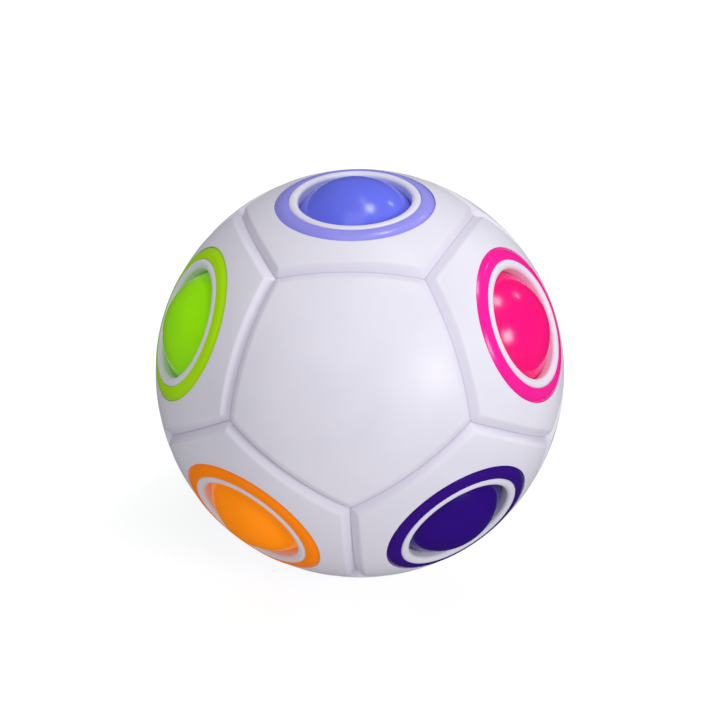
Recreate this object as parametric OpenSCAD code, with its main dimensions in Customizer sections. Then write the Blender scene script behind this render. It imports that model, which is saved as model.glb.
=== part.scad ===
// A round puzzle ball of twelve five-sided panels. Ten of the panels have a hole with a coloured
// ring round it. Nine holes hold a loose ball, which a rubber core presses outwards; the tenth is
// empty, and a ball that is pushed in can be rolled under the panels to it.

/* [Shell] */
// Diameter over the panels
shell_d = 70; // [69.6:0.1:70.4]
// Thickness of a panel
wall = 2; // [1.9:0.05:2.1]
// Width of the groove between two panels
groove_w = 3.2; // [2:0.1:3.6]
// Depth of the groove between two panels
groove_depth = 1.05; // [0.5:0.05:1.2]

/* [Holes] */
// Diameter of a hole
hole_d = 19; // [18.8:0.1:19.6]
// Height of a hole's flat rim over the middle of the puzzle
rim_h = 33.4; // [33.25:0.05:33.45]
// Width of the bevel inside the rim
bevel = 0.25; // [0.1:0.05:0.4]

/* [Rings] */
// Diameter over a coloured ring
ring_d = 26.8; // [26:0.1:27]
// Width of a coloured ring
ring_w = 2.3; // [1.8:0.1:2.4]
// Height of a ring's underside over the middle of the puzzle
ring_h = 31.75; // [31.7:0.05:31.8]

/* [Small balls] */
// Diameter of a small ball
small_d = 22.5; // [22.2:0.05:22.5]
// Distance from the middle of the puzzle to the middle of a seated ball
small_h = 25.05; // [24.95:0.01:25.1]

/* [Rubber core] */
// Diameter of the core
core_d = 26.9; // [25:0.1:27]
// Thickness of its rubber
core_wall = 3; // [2:0.1:4]
// Diameter of the stud at each of its two poles
stud_d = 7.8; // [6:0.1:7.9]
// Height of a stud's end over the middle of the puzzle
stud_h = 16.5; // [15:0.5:20]
// Diameter of the air hole through the studs
vent_d = 2; // [1:0.1:3]

/* [Posts and lugs] */
// Outer diameter of the post behind a blank panel
post_d = 11; // [10.5:0.1:12]
// Bore of the post, which holds a stud of the core
post_bore = 8; // [8:0.1:8.2]
// Diameter of the lug at a panel's corner
lug_d = 6.4; // [5:0.1:6.6]
// Height of a lug's lower end over the middle of the puzzle
lug_h = 31.2; // [31:0.05:31.5]
// Diameter of the peg that joins two lugs
peg_d = 1.2; // [1:0.05:1.3]
// Length by which a peg stands out of its lug
peg_l = 1.2; // [0.8:0.1:1.4]

/* [Hidden] */
$fn = 96;

// The panels are numbered from the top down: 0 is the top, 1 to 5 the upper row, 6 to 10 the lower
// row, and 11 the bottom. A row starts at the front and runs to the right.
NAMES = ["periwinkle", "front_blank", "pink", "yellow", "red", "green",
         "violet", "light_blue", "rear_blank", "teal", "orange", "white"];
COLOURS = ["#6973d6", "white", "#fa2a89", "#ffd21f", "#e02b2b", "#75c009",
           "#331477", "#3fa9f5", "white", "#0f8f7c", "#ed7d0c", "#f1f0f4"];
BLANK = [1, 8];
EMPTY = 11;
HOLED = [for (k = [0:EMPTY]) if (k != BLANK[0] && k != BLANK[1]) k];
LOOSE = [for (k = HOLED) if (k != EMPTY) k];

shell_r = shell_d / 2;
inner_r = shell_r - wall;
crease_r = shell_r - groove_depth;

// Angles of a dodecahedron, seen from its middle
between_faces = atan(2);
to_edge = between_faces / 2;
to_corner = atan(tan(to_edge) / cos(36));
half_edge = acos(cos(to_corner) / cos(to_edge));
row_step = 360 / 5;
front = -90;

over = 0.5;          // how far a cutter reaches past the face that it cuts
root = 0.2;          // how far a lug or a post reaches into its panel
fit_gap = 0.05;      // play between a fixed piece and its seat
ring_round = 0.2;    // size of the bevel along a ring's edges
dimple_d = 0.9;      // size of the dimple where three grooves meet
dimple_depth = 0.35; // how far it reaches below the grooves
peg_root = 0.8;      // how far a peg is rooted in its own lug
socket_play = 0.15;  // room past a peg's end
peg_h = 32.5;        // height of a peg over the middle of the puzzle
peg_to_corner = 3.3; // angle between a peg and the nearest corner
peg_angle = half_edge - peg_to_corner;
post_end = sqrt(pow(core_d / 2, 2) - pow(post_bore / 2, 2)) + fit_gap;

function in_upper_row(k) = k >= 1 && k <= 5;
function in_lower_row(k) = k >= 6 && k <= 10;

// Angle of panel k from straight up
function polar(k) =
    k == 0 ? 0 : in_upper_row(k) ? between_faces : in_lower_row(k) ? 180 - between_faces : 180;

// Angle of panel k round the puzzle, from the +X axis
function azimuth(k) =
    front + row_step * (in_upper_row(k) ? k - 1 : in_lower_row(k) ? k - 5.5 : 0);

// Turn of panel k about its own middle, so that its edges meet its neighbours'
function spin(k) = in_upper_row(k) ? 0 : row_step / 2;

// Height of the ball's surface at a distance r from the axis of a panel
function surface_h(r) = sqrt(pow(shell_r, 2) - pow(r, 2));

// Places what is drawn about +Z on panel k. The puzzle rests on the rim of its bottom hole.
module on_panel(k) {
    translate([0, 0, rim_h])
        rotate([0, polar(k), azimuth(k)])
            rotate([0, 0, spin(k)])
                children();
}

// Draws its children at each of the five edges, with +Z to the edge's middle and +X out of the panel
module at_edges() {
    for (i = [0:4])
        rotate([0, 0, row_step * (i + 0.5)])
            rotate([0, to_edge, 0])
                children();
}

// The wedge of the ball that belongs to one panel, from the middle outwards
module wedge() {
    reach = shell_r + over;
    cylinder(h = reach, r1 = 0, r2 = reach * tan(to_corner), $fn = 5);
}

// One side of the groove, turned all the way round the puzzle in the plane of an edge
module groove_side() {
    shoulder_r = sqrt(pow(shell_r, 2) - pow(groove_w / 2, 2));
    slope = (shoulder_r - crease_r) / (groove_w / 2);
    rotate([0, 90, 0])
        rotate_extrude()
            polygon([[crease_r - slope * over, over],
                     [crease_r + slope * groove_w, -groove_w],
                     [crease_r + slope * groove_w, over]]);
}

module corner_lugs() {
    for (i = [0:4])
        rotate([0, to_corner, row_step * i])
            translate([0, 0, lug_h])
                cylinder(h = inner_r + root - lug_h, d = lug_d);
}

// A small dimple where three grooves meet
module corner_dimples() {
    for (i = [0:4])
        rotate([0, to_corner, row_step * i])
            translate([0, 0, crease_r - dimple_depth])
                cylinder(h = groove_depth + 2 * over, d = dimple_d);
}

// A pin across each edge, near the corner on one side, that starts at a depth inside the panel
module across_edge(side, diameter, depth, length) {
    at_edges()
        rotate([side * peg_angle, 0, 0])
            translate([-depth, 0, peg_h])
                rotate([0, 90, 0])
                    cylinder(h = length, d = diameter);
}

// A blank panel with its lugs, pegs and sockets
module panel_plate() {
    difference() {
        union() {
            intersection() {
                wedge();
                union() {
                    rotate([90, 0, 0])
                        difference() {
                            sphere(r = shell_r);
                            sphere(r = inner_r);
                        }
                    corner_lugs();
                }
            }
            across_edge(1, peg_d, peg_root, peg_root + peg_l);
        }
        at_edges() groove_side();
        corner_dimples();
        across_edge(-1, peg_d + 2 * fit_gap, peg_l + socket_play, peg_l + 2 * over);
    }
}

// The hole, the flat of its rim and its bevel
module hole_cutter() {
    cylinder(h = shell_r + over, d = hole_d);
    translate([0, 0, rim_h])
        cylinder(h = wall, r = ring_d / 2 - ring_w);
    translate([0, 0, rim_h - 2 * bevel])
        cylinder(h = 4 * bevel, r1 = hole_d / 2, r2 = hole_d / 2 + 2 * bevel);
}

module tube(low, high, inner, outer) {
    translate([0, 0, low])
        difference() {
            cylinder(h = high - low, r = outer);
            translate([0, 0, -over]) cylinder(h = high - low + 2 * over, r = inner);
        }
}

module holed_panel(k) {
    color("white")
        on_panel(k)
            difference() {
                panel_plate();
                hole_cutter();
                tube(ring_h, shell_r + over, ring_d / 2 - ring_w - fit_gap, ring_d / 2 + fit_gap);
            }
}

// The post keeps the small balls out of the place behind the panel, and holds the core
module blank_panel(k) {
    color("white")
        on_panel(k)
            union() {
                panel_plate();
                tube(post_end, inner_r + root, post_bore / 2, post_d / 2);
            }
}

module ring(k) {
    inner = ring_d / 2 - ring_w;
    outer = ring_d / 2;
    middle = (inner + outer) / 2;
    color(COLOURS[k])
        on_panel(k)
            rotate_extrude()
                polygon([[inner, ring_h],
                         [outer, ring_h],
                         [outer, surface_h(outer) - ring_round],
                         [outer - ring_round, surface_h(outer - ring_round)],
                         [middle, surface_h(middle)],
                         [inner + ring_round, surface_h(inner + ring_round)],
                         [inner, surface_h(inner) - ring_round]]);
}

module small_ball(k) {
    color(COLOURS[k])
        on_panel(k)
            translate([0, 0, small_h]) sphere(d = small_d);
}

module rubber_core() {
    color("#3a3a3d")
        on_panel(BLANK[0])
            difference() {
                union() {
                    sphere(d = core_d);
                    cylinder(h = 2 * stud_h, d = stud_d, center = true);
                }
                sphere(d = core_d - 2 * core_wall);
                cylinder(h = 2 * (stud_h + over), d = vent_d, center = true);
            }
}

for (k = HOLED)
    holed_panel(k);
for (k = BLANK)
    blank_panel(k);
for (k = HOLED)
    ring(k);
for (k = LOOSE)
    small_ball(k);
rubber_core();
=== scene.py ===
"""Looks of the rainbow ball puzzle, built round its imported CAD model.

The panels, rings and small balls are rebuilt as fine meshes, with rounded edges, and stand for
their CAD nodes. Sizes are in millimetres until a mesh is made. Each shape is drawn about +Z from
the middle of the puzzle, and is then turned to its own panel.
"""

import math

import bpy
import numpy as np
from mathutils import Matrix, Vector


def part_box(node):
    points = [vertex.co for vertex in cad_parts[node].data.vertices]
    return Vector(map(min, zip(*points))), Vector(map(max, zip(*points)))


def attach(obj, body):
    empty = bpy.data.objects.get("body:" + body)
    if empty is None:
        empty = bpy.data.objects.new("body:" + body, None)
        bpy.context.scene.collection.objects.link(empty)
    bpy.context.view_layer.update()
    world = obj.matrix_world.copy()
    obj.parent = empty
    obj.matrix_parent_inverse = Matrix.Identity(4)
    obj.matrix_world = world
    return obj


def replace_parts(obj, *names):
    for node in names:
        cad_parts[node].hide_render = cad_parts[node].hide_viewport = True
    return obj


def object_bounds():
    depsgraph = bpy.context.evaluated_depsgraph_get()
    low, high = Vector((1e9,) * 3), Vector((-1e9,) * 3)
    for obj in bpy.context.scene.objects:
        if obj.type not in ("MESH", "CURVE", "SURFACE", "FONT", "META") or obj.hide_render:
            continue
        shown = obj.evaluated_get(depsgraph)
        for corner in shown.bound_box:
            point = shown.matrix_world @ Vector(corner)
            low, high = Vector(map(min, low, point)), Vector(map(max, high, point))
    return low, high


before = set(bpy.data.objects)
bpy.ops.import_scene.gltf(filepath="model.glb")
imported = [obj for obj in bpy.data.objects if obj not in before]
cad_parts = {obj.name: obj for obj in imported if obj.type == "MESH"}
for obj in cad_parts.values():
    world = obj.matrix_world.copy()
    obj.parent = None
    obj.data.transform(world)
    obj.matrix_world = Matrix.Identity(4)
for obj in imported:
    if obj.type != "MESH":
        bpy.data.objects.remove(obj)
cad_low, cad_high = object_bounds()

MM = 0.001
SLACK = 0.005  # keeps the fine meshes just inside the CAD model's box

# ---------------------------------------------------------------- sizes from the frame


def box_mm(node):
    low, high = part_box(node)
    return np.array(low) / MM, np.array(high) / MM


core_low, core_high = box_mm("rubber_core")
CENTRE = (core_low + core_high) / 2
SHELL_R = CENTRE[1] - box_mm("front_blank_panel")[0][1] - SLACK
RIM_H = CENTRE[2] - cad_low[2] / MM - SLACK

ball_low, ball_high = box_mm("periwinkle_ball")
BALL_R = (ball_high[2] - ball_low[2]) / 2 - SLACK
BALL_H = (ball_high[2] + ball_low[2]) / 2 - CENTRE[2]

ring_low, ring_high = box_mm("periwinkle_ring")
RING_R = (ring_high[0] - ring_low[0]) / 2
RING_H = ring_low[2] - CENTRE[2]

# ---------------------------------------------------------------- sizes of its own

WALL = 2.0
INNER_R = SHELL_R - WALL
ROOT = 0.3                # how far a lug or a post reaches into its panel
PANEL_GAP = 0.006         # half the hairline between two panels

HOLE_R = 9.5
HOLE_FOOT = 0.6           # from a hole's wall to where the smooth inside of its panel begins
RIB_ROUND = 0.1           # the rounding of the rib that a small ball rests against
BALL_PLAY = 0.012         # between the ball and that rib
LIP_INNER = (0.75, 0.62)  # the rounding of a hole's white lip, towards the ball: width and height
LIP_OUTER = 0.5           # and its fall towards the ring

RING_W = 2.3
SEAT_GAP = 0.02           # between a ring and its seat
SEAT_ROUND = 0.05         # the rounding along the outer edge of a ring's seat
RING_CREST = 0.45         # where a ring is highest, as a share of its width from the inner edge
RING_CROWN = 0.12         # how far its crest stands over the panel
RING_SUNK = 0.4           # how far its outer edge lies below the panel
RING_EDGE = 0.08          # the rounding of its inner edge

GROOVE_DEPTH = 1.05
GROOVE_FLANK = 1.45       # where a straight flank would meet the surface
GROOVE_ROUND = 0.24       # half the width of the rounded shoulder
SHOULDER = (GROOVE_FLANK - GROOVE_ROUND, GROOVE_FLANK + GROOVE_ROUND)

POST_R = 5.5
POST_BORE = 4.0
POST_END = 12.9
POST_ROUND = 0.3          # the rounding of its lower outer edge
POST_BEVEL = 0.2          # the bevel of its bore
LUG_R = 3.2
LUG_LOW = 31.2
LUG_GAP = 0.06            # between a lug and the axis of its corner

SEAM_DEPTH = 0.03         # the line round a small ball, where its halves are joined
SEAM_HALF = 0.12          # and half its width

BETWEEN_FACES = math.atan(2)
TO_EDGE = BETWEEN_FACES / 2
TO_CORNER = math.atan(math.tan(TO_EDGE) / math.cos(math.radians(36)))
STEP = math.radians(72)
FRONT = math.radians(-90)
SMOOTH_BELOW = math.radians(50)

COLUMNS = 44              # of mesh to one edge of a panel
FLANK_ROWS = (0, 0.1, 0.2, 0.35, 0.5, 0.65, 0.8, 0.92)  # shares of the flank, from the crease out

NAMES = [
    "periwinkle", "front_blank", "pink", "yellow", "red", "green",
    "violet", "light_blue", "rear_blank", "teal", "orange", "white",
]
BLANK = ("front_blank", "rear_blank")
EMPTY = "white"

# ---------------------------------------------------------------- places


def placement(k):
    """The turn that takes +Z to panel k, numbered as in NAMES from the top down."""
    polar, azimuth, spin = 0.0, FRONT, STEP / 2
    if 1 <= k <= 5:
        polar = BETWEEN_FACES
        azimuth = FRONT + STEP * (k - 1)
        spin = 0.0
    elif 6 <= k <= 10:
        polar = math.pi - BETWEEN_FACES
        azimuth = FRONT + STEP * (k - 5.5)
    elif k == 11:
        polar = math.pi
    turn = (
        Matrix.Rotation(azimuth, 4, "Z")
        @ Matrix.Rotation(polar, 4, "Y")
        @ Matrix.Rotation(spin, 4, "Z")
    )
    return Matrix.Translation(Vector(CENTRE) * MM) @ turn


# ---------------------------------------------------------------- mesh making


def grid_faces(rows, columns, wrap_rows, first):
    """Quads over a grid of points whose columns close round."""
    quads = []
    for i in range(rows if wrap_rows else rows - 1):
        a = first + i * columns
        b = first + (i + 1) % rows * columns
        for j in range(columns):
            n = (j + 1) % columns
            quads.append((a + j, a + n, b + n, b + j))
    return quads


def add_grid(verts, faces, points, wrap_rows=False, ends=None):
    """Adds a grid of points, rows by columns, to a mesh. ends closes it with a point at each end."""
    rows, columns = points.shape[:2]
    first = len(verts)
    verts.extend(points.reshape(-1, 3).tolist())
    faces.extend(grid_faces(rows, columns, wrap_rows, first))
    if ends is None:
        return
    for end, row in zip(ends, (0, rows - 1)):
        tip = len(verts)
        verts.append(tuple(end))
        for j in range(columns):
            a = first + row * columns + j
            b = first + row * columns + (j + 1) % columns
            faces.append((tip, b, a) if row == 0 else (tip, a, b))


def around(count):
    """Evenly spaced angles round a full turn."""
    return np.linspace(0, 2 * math.pi, count, endpoint=False)


def turned(profile, angles):
    """A profile of (radius, height) turned round Z, as a grid."""
    profile = np.array(profile)
    r, h = profile[:, 0:1], profile[:, 1:2]
    return np.stack([r * np.cos(angles), r * np.sin(angles), h + 0 * angles], axis=2)


def arc(centre, size, start, stop, steps):
    """Points on an ellipse round centre, from one angle in degrees to another."""
    angles = np.radians(np.linspace(start, stop, steps))
    return [(centre[0] + size[0] * math.cos(a), centre[1] + size[1] * math.sin(a)) for a in angles]


def surface_h(r):
    """Height of the shell's surface at a distance r from a panel's axis."""
    return math.sqrt(SHELL_R**2 - r**2)


def smooth_outwards(piece):
    """Turns every face outwards, and shades all but the sharp edges smooth."""
    bpy.context.view_layer.objects.active = piece
    piece.select_set(True)
    bpy.ops.object.mode_set(mode="EDIT")
    bpy.ops.mesh.select_all(action="SELECT")
    bpy.ops.mesh.normals_make_consistent(inside=False)
    bpy.ops.object.mode_set(mode="OBJECT")
    bpy.ops.object.shade_smooth_by_angle(angle=SMOOTH_BELOW)
    piece.select_set(False)


def make_piece(name, verts, faces, k, body, material, cavity=None):
    """Makes a piece on panel k. cavity says how deep its first points lie in a groove, from 0 to 1."""
    mesh = bpy.data.meshes.new(name)
    mesh.from_pydata((np.array(verts) * MM).tolist(), [], faces)
    mesh.validate()
    if cavity is not None:
        depth = np.zeros(len(verts))
        depth[:cavity.size] = cavity.reshape(-1)
        layer = mesh.attributes.new("cavity", "FLOAT", "POINT")
        layer.data.foreach_set("value", depth)
    mesh.transform(placement(k))
    mesh.update()
    piece = bpy.data.objects.new(name, mesh)
    bpy.context.scene.collection.objects.link(piece)
    smooth_outwards(piece)
    mesh.materials.append(material)
    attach(piece, body)
    return piece


# ---------------------------------------------------------------- panels


def column_angles():
    """Angles round a panel, closer together at its corners."""
    x = np.linspace(-1, 1, COLUMNS, endpoint=False)
    within = STEP / 2 * (0.3 * x + 0.7 * np.sin(math.pi / 2 * x))
    return np.concatenate([within + STEP * (i + 0.5) for i in range(5)])


def inset_polar(angles, inset):
    """How far from its middle a panel reaches in each direction, less an inset in mm."""
    edge = TO_EDGE - inset / SHELL_R
    from_edge_middle = (angles % STEP) - STEP / 2
    return np.arctan(math.tan(edge) / np.cos(from_edge_middle))


def directions(polar, angles):
    s = np.sin(polar)
    return np.stack([s * np.cos(angles), s * np.sin(angles), np.cos(polar)], axis=-1)


def groove_cut(direction):
    """Depth of the grooves along the five edges, for an array of unit directions."""
    low, high = SHOULDER
    slope = GROOVE_DEPTH / GROOVE_FLANK
    total = np.zeros(direction.shape[:-1])
    for i in range(5):
        a = STEP * (i + 0.5)
        towards_edge = (math.cos(TO_EDGE) * math.cos(a), math.cos(TO_EDGE) * math.sin(a))
        normal = np.array([*towards_edge, -math.sin(TO_EDGE)])
        d = SHELL_R * np.arcsin(np.clip(-(direction @ normal), -1, 1))
        rounded = slope * np.clip(high - d, 0, None) ** 2 / (4 * GROOVE_ROUND)
        cut = np.where(d < low, slope * (GROOVE_FLANK - d), rounded)
        total += cut**8
    return total ** (1 / 8)


def outer_rows(angles, inner_polar, steps):
    """Directions over a panel's face, from inner_polar out to its edge. steps rows are evenly spaced."""
    low, high = SHOULDER
    flank = [low * share for share in FLANK_ROWS]
    shoulder = list(np.linspace(low, high, 8))
    insets = flank + shoulder + [high + 0.2, high + 0.6]
    edge_rows = [inset_polar(angles, PANEL_GAP + inset) for inset in insets]
    shares = np.linspace(0, 1, steps, endpoint=False)
    face_rows = [inner_polar + (edge_rows[-1] - inner_polar) * share for share in shares]
    return np.array(face_rows + edge_rows[::-1])


def outside_points(angles, inner_polar, steps):
    """The grid of a panel's face, and how deep each point lies in a groove, from 0 to 1."""
    d = directions(outer_rows(angles, inner_polar, steps), angles)
    cut = groove_cut(d)
    return d * (SHELL_R - cut)[..., None], cut / GROOVE_DEPTH


def edge_points(angles):
    """The narrow wall at a panel's edge, below the groove, and the first row of the inner face."""
    edge = inset_polar(angles, PANEL_GAP)
    rows = [directions(edge, angles) * (INNER_R + rise) for rise in (0.6, 0.25, 0.08)]
    rows.append(directions(inset_polar(angles, PANEL_GAP + 0.08), angles) * INNER_R)
    return np.array(rows)


def inside_points(angles, stop_polar, steps):
    """The inner face, from near the edge in towards the middle."""
    start = inset_polar(angles, PANEL_GAP + 0.6)
    shares = np.linspace(0, 1, steps)
    return np.array([directions(start + (stop_polar - start) * t, angles) * INNER_R for t in shares])


def hole_profile():
    """A panel's section at its hole: foot, rib, wall, domed lip and the seat of the ring."""
    foot_h = math.sqrt(INNER_R**2 - (HOLE_R + HOLE_FOOT) ** 2)
    rib_h = BALL_H + math.sqrt((BALL_R + BALL_PLAY) ** 2 - HOLE_R**2)
    crest = HOLE_R + LIP_INNER[0]
    lip_out = RING_R - RING_W - SEAT_GAP
    seat_out = RING_R + SEAT_GAP
    edge = seat_out + SEAT_ROUND

    points = [(HOLE_R + 0.5, foot_h), (HOLE_R + 0.3, rib_h + 0.05)]
    points += arc((HOLE_R + RIB_ROUND, rib_h + RIB_ROUND), (RIB_ROUND, RIB_ROUND), 270, 180, 4)
    points += [(HOLE_R, foot_h + 0.7), (HOLE_R + 0.02, RIM_H - LIP_INNER[1] - 0.2)]
    points += arc((crest, RIM_H - LIP_INNER[1]), LIP_INNER, 180, 90, 11)
    points += arc((crest, RIM_H - LIP_OUTER), (lip_out - crest, LIP_OUTER), 84, 0, 13)
    points += [(lip_out, RING_H + 0.3), (lip_out, RING_H), (seat_out, RING_H)]
    points += [(seat_out, surface_h(seat_out) - 0.3)]
    points += arc((edge, surface_h(edge) - SEAT_ROUND), (SEAT_ROUND, SEAT_ROUND), 180, 108, 5)
    return points


def post_profile():
    """The section of the post behind a blank panel, from its root down and up again in the bore."""
    points = [(POST_R, INNER_R + ROOT), (POST_R, POST_END + POST_ROUND)]
    points += arc((POST_R - POST_ROUND, POST_END + POST_ROUND), (POST_ROUND, POST_ROUND), 0, -90, 5)
    points += [(POST_BORE + POST_BEVEL, POST_END), (POST_BORE, POST_END + POST_BEVEL)]
    points += [(POST_BORE, INNER_R + ROOT)]
    return points


def add_lugs(verts, faces):
    """The third of a round lug at each corner, cut off where the next panels' lugs begin."""
    spread = np.radians(np.linspace(-59, 59, 13))
    outline = [(-LUG_GAP, 0.0)]
    outline += [(-LUG_GAP - LUG_R * math.cos(a), LUG_R * math.sin(a)) for a in spread]
    n = len(outline)
    for i in range(5):
        turn = Matrix.Rotation(STEP * i, 3, "Z") @ Matrix.Rotation(TO_CORNER, 3, "Y")
        low = len(verts)
        high = low + n
        for h in (LUG_LOW, INNER_R + ROOT):
            verts.extend(tuple(turn @ Vector((x, y, h))) for x, y in outline)
        faces.append(tuple(low + j for j in range(n)))
        faces.append(tuple(high + j for j in reversed(range(n))))
        for j in range(n):
            after = (j + 1) % n
            faces.append((low + j, low + after, high + after, high + j))


def panel_skin(name, k, verts, faces, cavity):
    return make_piece(name + "_panel_skin", verts, faces, k, "shell", shell_white, cavity)


def holed_panel(name, k):
    angles = column_angles()
    verts, faces = [], []
    profile = hole_profile()
    face_start = math.asin(profile[-1][0] / math.hypot(*profile[-1])) + 0.004
    outside, cut = outside_points(angles, face_start, 14)
    inside = inside_points(angles, math.asin((HOLE_R + HOLE_FOOT) / INNER_R), 12)
    grid = np.concatenate([turned(profile, angles), outside, edge_points(angles), inside])
    add_grid(verts, faces, grid, wrap_rows=True)
    add_lugs(verts, faces)
    cavity = np.zeros(grid.shape[:2])
    cavity[len(profile):len(profile) + len(outside)] = cut
    return panel_skin(name, k, verts, faces, cavity)


def blank_panel(name, k):
    """A panel without a hole, with the post behind it that holds the core."""
    angles = column_angles()
    verts, faces = [], []
    outside, cut = outside_points(angles, 0.012, 30)
    grid = np.concatenate([outside, edge_points(angles), inside_points(angles, 0.02, 24)])
    add_grid(verts, faces, grid, ends=((0, 0, SHELL_R), (0, 0, INNER_R)))
    add_lugs(verts, faces)
    add_grid(verts, faces, turned(post_profile(), around(72)), wrap_rows=True)
    return panel_skin(name, k, verts, faces, cut)


# ---------------------------------------------------------------- rings and small balls


def ring_profile():
    """A ring's domed section: flush with the panel at its inner edge, and sunk at its outer edge."""
    inner, outer = RING_R - RING_W, RING_R
    crest = inner + RING_CREST * RING_W
    points = [(outer - 0.05, RING_H + 0.02), (outer, RING_H + 0.08)]
    for t in np.linspace(0.985, 0, 22):
        r = crest + t * (outer - crest)
        points.append((r, surface_h(r) + RING_CROWN - (RING_CROWN + RING_SUNK) * t**2))
    for t in np.linspace(0.12, 0.9, 9):
        r = crest - t * (crest - inner)
        points.append((r, surface_h(r) + RING_CROWN * (1 - t**2)))
    points += arc((inner + RING_EDGE, surface_h(inner) - 0.1), (RING_EDGE, RING_EDGE), 60, 180, 6)
    points += [(inner, RING_H + 0.1), (inner + 0.05, RING_H + 0.02)]
    return points


def ring(name, k):
    verts, faces = [], []
    add_grid(verts, faces, turned(ring_profile(), around(180)), wrap_rows=True)
    return make_piece(
        name + "_ring_band", verts, faces, k, "shell", ring_materials[name]
    )


def small_ball(name, k):
    """A ball in two halves, with a fine seam where they are joined, square to its hole's axis."""
    verts, faces = [], []
    seam = math.degrees(SEAM_HALF / BALL_R)
    half = np.concatenate([np.linspace(2, 86, 43), [88, 90 - 2 * seam, 90 - seam, 90 - seam / 2]])
    polar = np.radians(np.concatenate([half, [90], 180 - half[::-1]]))
    from_seam = np.abs(np.degrees(polar) - 90) / seam
    radius = BALL_R - SEAM_DEPTH * np.clip(1 - from_seam, 0, 1)
    profile = np.stack([radius * np.sin(polar), radius * np.cos(polar) + BALL_H], axis=1)
    tips = ((0, 0, BALL_H + BALL_R), (0, 0, BALL_H - BALL_R))
    add_grid(verts, faces, turned(profile, around(144)), ends=tips)
    return make_piece(
        name + "_small_ball", verts, faces, k, name + "_ball", ball_materials[name]
    )


# ---------------------------------------------------------------- materials

# Noise scales, to the metre
CLOUDS = 70
SMEARS = 90
# Fine reliefs: noise scale, strength and height in metres
ORANGE_PEEL = (700, 0.10, 0.00012)
GRAIN = (3200, 0.02, 0.00004)
POLISH = 0.07  # how much less rough the shoulders of the grooves are


def nodes_of(material):
    material.use_nodes = True
    tree = material.node_tree
    return tree, tree.nodes, tree.links, tree.nodes["Principled BSDF"]


def noise(tree, where, scale, detail):
    node = tree.nodes.new("ShaderNodeTexNoise")
    node.inputs["Scale"].default_value = scale
    node.inputs["Detail"].default_value = detail
    tree.links.new(where, node.inputs["Vector"])
    return node.outputs["Fac"]


def ranged(tree, source, from_range, to_range):
    node = tree.nodes.new("ShaderNodeMapRange")
    tree.links.new(source, node.inputs["Value"])
    for key, value in zip(("From Min", "From Max", "To Min", "To Max"), (*from_range, *to_range)):
        node.inputs[key].default_value = value
    return node.outputs["Result"]


def mixed(tree, factor, colour_a, colour_b):
    """A colour mix, where either colour may be a plain colour or an output."""
    node = tree.nodes.new("ShaderNodeMix")
    node.data_type = "RGBA"
    tree.links.new(factor, node.inputs["Factor"])
    for socket, colour in ((node.inputs[6], colour_a), (node.inputs[7], colour_b)):
        if isinstance(colour, tuple):
            socket.default_value = (*colour, 1)
        else:
            tree.links.new(colour, socket)
    return node.outputs[2]


def relief(tree, where, kind, peel, below=None):
    """A fine relief over the one below. peel makes it stronger or weaker."""
    scale, strength, height = kind
    node = tree.nodes.new("ShaderNodeBump")
    node.inputs["Strength"].default_value = strength * peel
    node.inputs["Distance"].default_value = height
    tree.links.new(noise(tree, where, scale, 1), node.inputs["Height"])
    if below is not None:
        tree.links.new(below, node.inputs["Normal"])
    return node.outputs["Normal"]


def groove_painted_shade(tree, cavity, tone, deep):
    """Painted shade: a colour that deepens down the flanks of the grooves, and deeper still in the
    crease.
    """
    # painted shade down the flanks of the grooves
    flank = ranged(tree, cavity, (0.1, 0.5), (0, 0.4))
    tone = mixed(tree, flank, tone, (deep[0] * 0.97, deep[1] * 0.93, deep[2]))
    # painted shade, darkest in the crease
    crease_shade = ranged(tree, cavity, (0.85, 1), (0, 0.4))
    return mixed(tree, crease_shade, tone, deeper(deep, 0.6))


def handled_edges(tree, cavity, gloss):
    """Roughness, less a little along the shoulders of the grooves, which hands have polished."""
    band = tree.nodes.new("ShaderNodeValToRGB")
    band.color_ramp.elements[0].color = (0, 0, 0, 1)
    band.color_ramp.elements[1].position = 0.3
    band.color_ramp.elements[1].color = (0, 0, 0, 1)
    band.color_ramp.elements.new(0.08).color = (1, 1, 1, 1)
    tree.links.new(cavity, band.inputs["Fac"])
    less = tree.nodes.new("ShaderNodeMath")
    less.operation = "MULTIPLY_ADD"
    less.inputs[1].default_value = -POLISH
    tree.links.new(band.outputs["Color"], less.inputs[0])
    tree.links.new(gloss, less.inputs[2])
    return less.outputs["Value"]


def moulded_plastic(name, colour, deep, rough, shine=0.28, peel=1.0, glow=0.0, grooved=False):
    """Moulded plastic: slightly uneven in colour and gloss, with a fine orange peel and a finer grain."""
    material = bpy.data.materials.new(name)
    tree, nodes, links, shader = nodes_of(material)
    where = nodes.new("ShaderNodeTexCoord").outputs["Object"]

    unevenness = ranged(tree, noise(tree, where, CLOUDS, 3), (0.35, 0.65), (0, 1))
    tone = mixed(tree, unevenness, colour, deep)
    gloss = ranged(tree, noise(tree, where, SMEARS, 3), (0.3, 0.7), (rough - 0.03, rough + 0.04))
    if grooved:
        attribute = nodes.new("ShaderNodeAttribute")
        attribute.attribute_name = "cavity"
        cavity = attribute.outputs["Fac"]
        # painted shade in the grooves, from each point's depth in its groove
        tone = groove_painted_shade(tree, cavity, tone, deep)
        gloss = handled_edges(tree, cavity, gloss)
    links.new(tone, shader.inputs["Base Color"])
    links.new(gloss, shader.inputs["Roughness"])

    peeled = relief(tree, where, ORANGE_PEEL, peel)
    links.new(relief(tree, where, GRAIN, peel, below=peeled), shader.inputs["Normal"])

    shader.inputs["Specular IOR Level"].default_value = shine
    shader.inputs["Emission Color"].default_value = (*colour, 1)
    # glow is painted light: an emission on a part that is no lamp
    shader.inputs["Emission Strength"].default_value = glow
    return material


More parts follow.
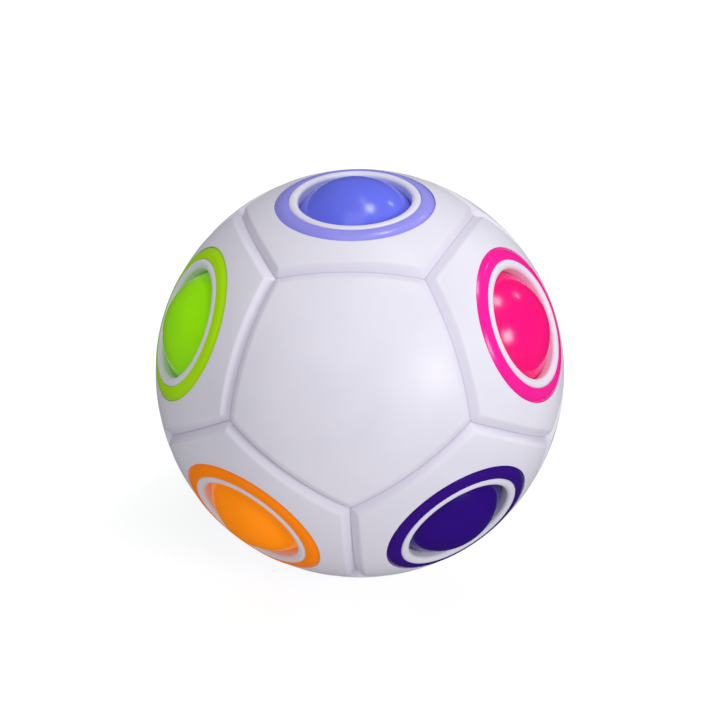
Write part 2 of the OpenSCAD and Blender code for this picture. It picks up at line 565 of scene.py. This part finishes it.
def rubber(name, colour):
    material = moulded_plastic(name, colour, deeper(colour, 0.7), 0.62, peel=3)
    material.node_tree.nodes["Principled BSDF"].inputs["Sheen Weight"].default_value = 0.15
    return material


def linear(*srgb):
    """A linear colour from sRGB values of 11 to 255."""
    return tuple(((c / 255 + 0.055) / 1.055) ** 2.4 for c in srgb)


def deeper(colour, by=0.9):
    return tuple(c * by for c in colour)


BALL_COLOURS = {
    "periwinkle": (0.155, 0.19, 0.98),
    "pink": (0.98, 0.003, 0.20),
    "yellow": (0.98, 0.68, 0.01),
    "red": (0.86, 0.015, 0.02),
    "green": (0.36, 0.96, 0.0),
    "violet": (0.03, 0.001, 0.24),
    "light_blue": (0.04, 0.46, 0.96),
    "teal": (0.0, 0.36, 0.26),
    "orange": (0.98, 0.255, 0.0),
}
RING_COLOURS = {
    "periwinkle": (0.34, 0.33, 0.96),
    "pink": (0.98, 0.012, 0.34),
    "yellow": (0.98, 0.74, 0.03),
    "red": (0.88, 0.03, 0.03),
    "green": (0.46, 0.88, 0.0),
    "violet": (0.04, 0.004, 0.25),
    "light_blue": (0.07, 0.52, 0.98),
    "teal": (0.01, 0.40, 0.29),
    "orange": (0.96, 0.22, 0.0),
    "white": (0.84, 0.83, 0.90),
}
PAINTED_GLOW = {"orange": 0.33, "pink": 0.14, "green": 0.07}  # painted glow: an emission that makes these balls brighter than their lamps light them
RING_PAINTED_GLOW = 0.7  # a ring's painted glow, as a share of its ball's


def ring_plastic(name, colour):
    glow = RING_PAINTED_GLOW * PAINTED_GLOW.get(name, 0)
    return moulded_plastic(name + "_ring_plastic", colour, deeper(colour), 0.2, 0.36, glow=glow)


def ball_plastic(name, colour):
    glow = PAINTED_GLOW.get(name, 0)
    return moulded_plastic(name + "_ball_plastic", colour, deeper(colour), 0.2, 0.5, 1.2, glow)


shell_white = moulded_plastic(
    "shell_white_plastic", linear(236, 233, 246), linear(231, 228, 242), 0.34, grooved=True
)
ring_materials = {name: ring_plastic(name, colour) for name, colour in RING_COLOURS.items()}
ball_materials = {name: ball_plastic(name, colour) for name, colour in BALL_COLOURS.items()}
core_rubber = rubber("core_rubber_soft", linear(70, 70, 74))

# ---------------------------------------------------------------- the object

for k, name in enumerate(NAMES):
    if name in BLANK:
        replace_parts(blank_panel(name, k), name + "_panel")
        continue
    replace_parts(holed_panel(name, k), name + "_panel")
    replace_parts(ring(name, k), name + "_ring")
    if name != EMPTY:
        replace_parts(small_ball(name, k), name + "_ball")

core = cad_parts["rubber_core"]
core.data.materials.clear()
core.data.materials.append(core_rubber)

# ---------------------------------------------------------------- camera, floor and light

# Degrees, and metres from the middle of the puzzle
CAMERA_AZIMUTH, CAMERA_ELEVATION, CAMERA_ROLL = 3.96, 29.26, 1.72
CAMERA_DISTANCE = 0.5124
CAMERA_RISE = 0.00226
LENS, SENSOR = 149.2, 36.0

LIGHTS_AWAY = 0.9
# Name, direction in the camera's own axes (right, up and back), size and power
SOFTBOXES = (
    ("side_softbox", (0.65, -0.01, 0.76), (0.21, 0.25), 2.5),
    ("top_softbox", (0.33, 0.83, 0.42), (0.22, 0.17), 1.45),
    ("strip_light", (0.2, 0.88, 0.43), (0.65, 0.1), 0.4),
    ("front_softbox", (-0.05, 0.6, 0.8), (0.5, 0.5), 1.0),
    ("rear_softbox", (0.64, 0.75, -0.155), (0.07, 0.07), 0.2),
)
# Lights the back of the puzzle, and isn't seen in its gloss
REAR_FILL = ("rear_fill", (-0.05, 0.54, -0.84), (0.4, 0.3), 1.3)

# How the surroundings look: as light on the puzzle, in its reflections, and to the camera
AROUND_KINDS = (0.45, 0.04, 1.0)
FLOOR_KINDS = ((0.3, 0.44), (0.01, 0.015), (0.42, 0.75))  # greyness and glow
FLOOR_HALF = 3.0  # metres


def camera_axes():
    """Right, up and back of the camera."""
    a, e, roll = (math.radians(x) for x in (CAMERA_AZIMUTH, CAMERA_ELEVATION, CAMERA_ROLL))
    back = Vector((math.sin(a) * math.cos(e), -math.cos(a) * math.cos(e), math.sin(e)))
    right = Vector((math.cos(a), math.sin(a), 0))
    up = back.cross(right)
    return (
        right * math.cos(roll) + up * -math.sin(roll),
        right * math.sin(roll) + up * math.cos(roll),
        back,
    )


def make_camera():
    right, up, back = camera_axes()
    data = bpy.data.cameras.new("camera")
    data.lens, data.sensor_width = LENS, SENSOR
    data.clip_start, data.clip_end = 0.01, 20
    camera = bpy.data.objects.new("camera", data)
    bpy.context.scene.collection.objects.link(camera)
    place = Vector(CENTRE) * MM + back * CAMERA_DISTANCE + up * CAMERA_RISE
    turn = Matrix((right, up, back)).transposed().to_4x4()
    camera.matrix_world = Matrix.Translation(place) @ turn
    bpy.context.scene.camera = camera


def soft_light(name, direction, size, power):
    """A rectangular light that faces the middle of the puzzle."""
    way = sum((axis * part for axis, part in zip(camera_axes(), direction)), Vector()).normalized()
    data = bpy.data.lights.new(name, "AREA")
    data.shape = "RECTANGLE"
    data.size, data.size_y = size
    data.energy = power
    lamp = bpy.data.objects.new(name, data)
    bpy.context.scene.collection.objects.link(lamp)
    lamp.location = Vector(CENTRE) * MM + way * LIGHTS_AWAY
    lamp.rotation_mode = "QUATERNION"
    lamp.rotation_quaternion = way.to_track_quat("Z", "Y")
    return lamp


def by_ray(tree, diffuse, glossy, camera, output):
    """Shows one shader as light on the puzzle, another in its reflections, and a third to the camera."""
    nodes, links = tree.nodes, tree.links
    ray = nodes.new("ShaderNodeLightPath")
    shown = diffuse
    for kind, shader in (("Is Glossy Ray", glossy), ("Is Camera Ray", camera)):
        mix = nodes.new("ShaderNodeMixShader")
        links.new(ray.outputs[kind], mix.inputs["Fac"])
        links.new(shown.outputs[0], mix.inputs[1])
        links.new(shader.outputs[0], mix.inputs[2])
        shown = mix
    links.new(shown.outputs[0], nodes[output].inputs["Surface"])


def floor_shader(nodes, grey, glow):
    shader = nodes.new("ShaderNodeBsdfPrincipled")
    shader.inputs["Base Color"].default_value = (grey, grey, grey, 1)
    shader.inputs["Roughness"].default_value = 0.8
    shader.inputs["Specular IOR Level"].default_value = 0
    shader.inputs["Emission Color"].default_value = (1, 1, 1, 1)
    shader.inputs["Emission Strength"].default_value = glow
    return shader


def make_floor():
    """A white sheet, bright to the camera, that throws little light up at the puzzle."""
    mesh = bpy.data.meshes.new("floor")
    corners = [(FLOOR_HALF * x, FLOOR_HALF * y, 0) for x, y in ((-1, -1), (1, -1), (1, 1), (-1, 1))]
    mesh.from_pydata(corners, [], [(0, 1, 2, 3)])
    floor = bpy.data.objects.new("floor", mesh)
    bpy.context.scene.collection.objects.link(floor)
    material = bpy.data.materials.new("floor_white")
    tree, nodes, links, first_shader = nodes_of(material)
    nodes.remove(first_shader)
    kinds = [floor_shader(nodes, grey, glow) for grey, glow in FLOOR_KINDS]
    by_ray(tree, *kinds, "Material Output")
    mesh.materials.append(material)


def make_world():
    """A white backdrop, with dimmer light from all round."""
    world = bpy.data.worlds.new("studio")
    bpy.context.scene.world = world
    world.use_nodes = True
    tree = world.node_tree
    tree.nodes.remove(tree.nodes["Background"])
    kinds = []
    for strength in AROUND_KINDS:
        shade = tree.nodes.new("ShaderNodeBackground")
        shade.inputs["Color"].default_value = (1, 1, 1, 1)
        shade.inputs["Strength"].default_value = strength
        kinds.append(shade)
    by_ray(tree, *kinds, "World Output")


make_camera()
make_floor()
make_world()
for softbox in SOFTBOXES:
    soft_light(*softbox)
soft_light(*REAR_FILL).visible_glossy = False
bpy.context.scene.view_settings.view_transform = "Standard"
